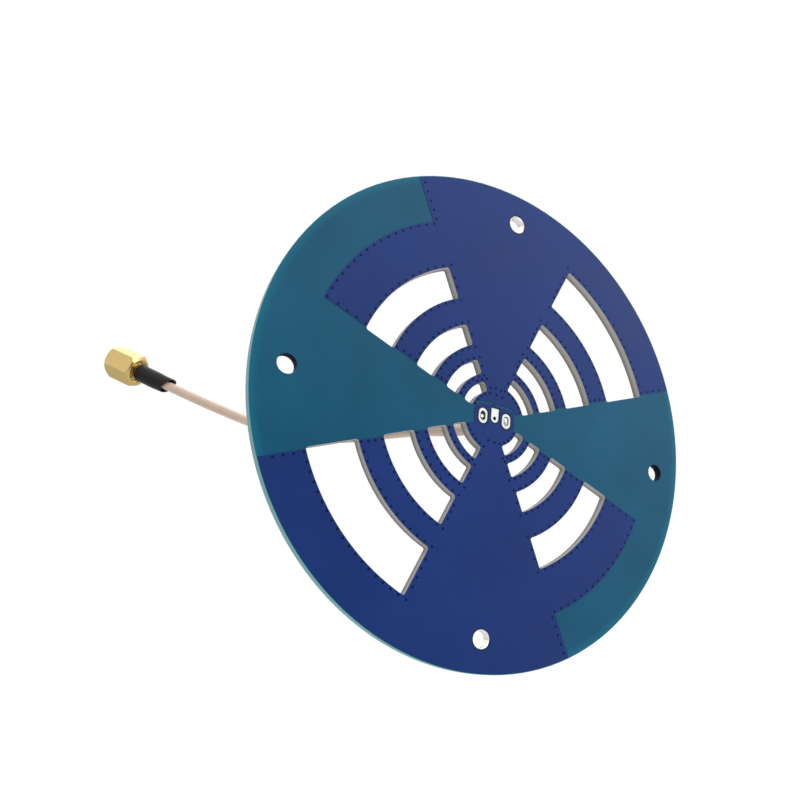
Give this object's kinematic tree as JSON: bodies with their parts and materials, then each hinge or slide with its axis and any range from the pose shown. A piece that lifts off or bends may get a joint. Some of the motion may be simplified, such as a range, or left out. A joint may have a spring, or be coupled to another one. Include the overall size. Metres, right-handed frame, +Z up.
{
  "type": "planar log-periodic toothed antenna",
  "caption": "Round printed-board antenna with toothed bow-tie copper and arc slots, fed from behind by a thin coaxial pigtail with a screw-on plug.",
  "frame": {"origin": "centre of the ring of mounting holes, on the back face of the board", "axes": "+X to the right seen from the front, +Y backwards out of the board's back face, +Z up towards the wing that the cable's centre conductor feeds"},
  "size_m": [0.1055, 0.1066, 0.092],
  "materials": {
    "board": "glossy solder mask",
    "masked_copper": "glossy solder mask over copper",
    "tinned": "tinned, bright",
    "solder": "satin solder",
    "silvered_wire": "silver-plated copper wire",
    "fluoropolymer": "waxy white",
    "cable_jacket": "smooth, slightly see-through tan",
    "heat_shrink": "satin black",
    "gold_plated": "gold-plated brass",
    "spring_bronze": "bare bronze",
    "gasket": "matte silicone"
  },
  "bodies": {
    "antenna": {"board_laminate": "board", "front_upper_copper": "masked_copper", "front_lower_copper": "masked_copper", "back_upper_copper": "masked_copper", "back_lower_copper": "masked_copper", "left_ground_pad": "tinned", "right_ground_pad": "tinned", "centre_feed_pad": "tinned", "left_shield_lead": "silvered_wire", "right_shield_lead": "silvered_wire", "left_solder": "solder", "right_solder": "solder", "centre_solder": "solder", "braid_solder": "solder", "feed_braid": "silvered_wire", "feed_dielectric": "fluoropolymer", "feed_conductor": "silvered_wire", "coax_cable": "cable_jacket", "heat_shrink": "heat_shrink", "crimp_ferrule": "gold_plated", "crimped_braid": "silvered_wire", "plug_dielectric": "fluoropolymer", "plug_conductor": "silvered_wire", "plug_body": "gold_plated", "insulator": "fluoropolymer", "centre_pin": "gold_plated", "retaining_ring": "spring_bronze", "gasket": "gasket"},
    "nut": {"coupling_nut": "gold_plated"}
  },
  "joints": [
    {"name": "coupling_nut_spin", "type": "hinge", "parent": "antenna", "child": "nut", "pos_m": [-0.05066, 0.0964, 0.0271], "axis": [-0.6912, 0.6042, 0.3964], "continuous": true}
  ]
}
